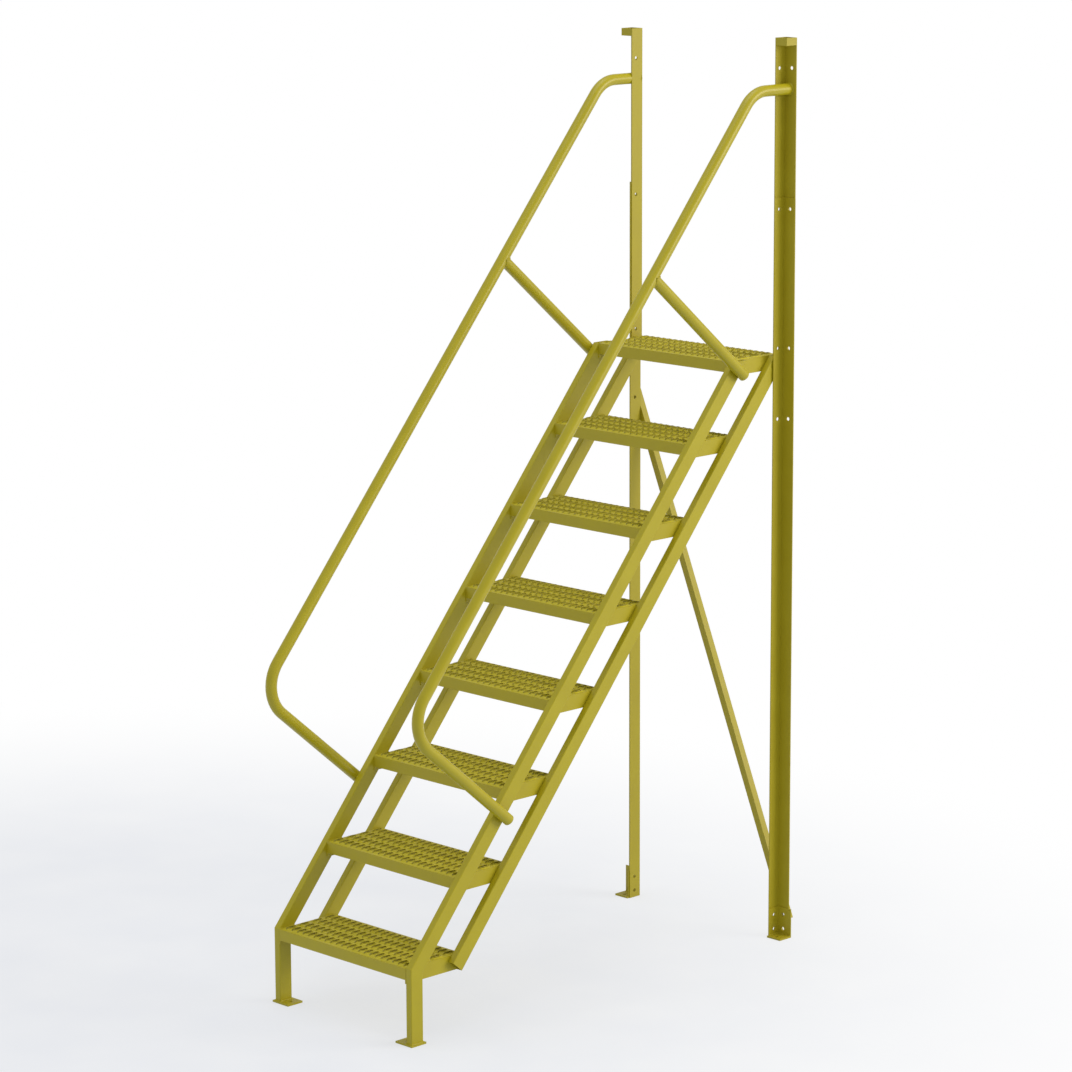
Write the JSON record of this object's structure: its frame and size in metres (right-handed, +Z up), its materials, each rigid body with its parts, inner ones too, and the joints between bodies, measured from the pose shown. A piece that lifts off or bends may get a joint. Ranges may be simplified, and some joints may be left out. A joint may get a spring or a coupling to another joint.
{
  "type": "industrial crossover stair",
  "caption": "Steep steel access stair: diamond-opening plank treads between tube stringers, bent tube handrails, tall angle posts with bolt holes behind and a diagonal brace.",
  "frame": {"origin": "on the floor, in the middle of the stair's width and depth", "axes": "+X to a climber's right, +Y the way up the flight, +Z up"},
  "size_m": [0.7938, 1.7618, 3.0988],
  "materials": {
    "stringer_paint": "semi-gloss yellow enamel",
    "rail_paint": "semi-gloss yellow enamel",
    "post_paint": "semi-gloss yellow enamel",
    "tread_paint": "semi-gloss yellow enamel"
  },
  "bodies": {
    "root": {"front_stringer_left": "stringer_paint", "front_stringer_right": "stringer_paint", "rear_stringer_left": "stringer_paint", "rear_stringer_right": "stringer_paint", "front_leg_left": "stringer_paint", "front_leg_right": "stringer_paint", "front_foot_plate_left": "stringer_paint", "front_foot_plate_right": "stringer_paint", "handrail_left": "rail_paint", "handrail_right": "rail_paint", "handrail_strut_left": "rail_paint", "handrail_strut_right": "rail_paint", "lower_post_left": "post_paint", "lower_post_right": "post_paint", "upper_post_left": "post_paint", "upper_post_right": "post_paint", "post_collar_left": "post_paint", "post_collar_right": "post_paint", "post_foot_angle_left": "post_paint", "post_foot_angle_right": "post_paint", "post_base_plate_left": "post_paint", "post_base_plate_right": "post_paint", "rear_brace": "post_paint", "tread_frame_1": "tread_paint", "tread_frame_2": "tread_paint", "tread_frame_3": "tread_paint", "tread_frame_4": "tread_paint", "tread_frame_5": "tread_paint", "tread_frame_6": "tread_paint", "tread_frame_7": "tread_paint", "tread_frame_8": "tread_paint", "tread_deck_1": "tread_paint", "tread_deck_2": "tread_paint", "tread_deck_3": "tread_paint", "tread_deck_4": "tread_paint", "tread_deck_5": "tread_paint", "tread_deck_6": "tread_paint", "tread_deck_7": "tread_paint", "tread_deck_8": "tread_paint"}
  },
  "joints": []
}
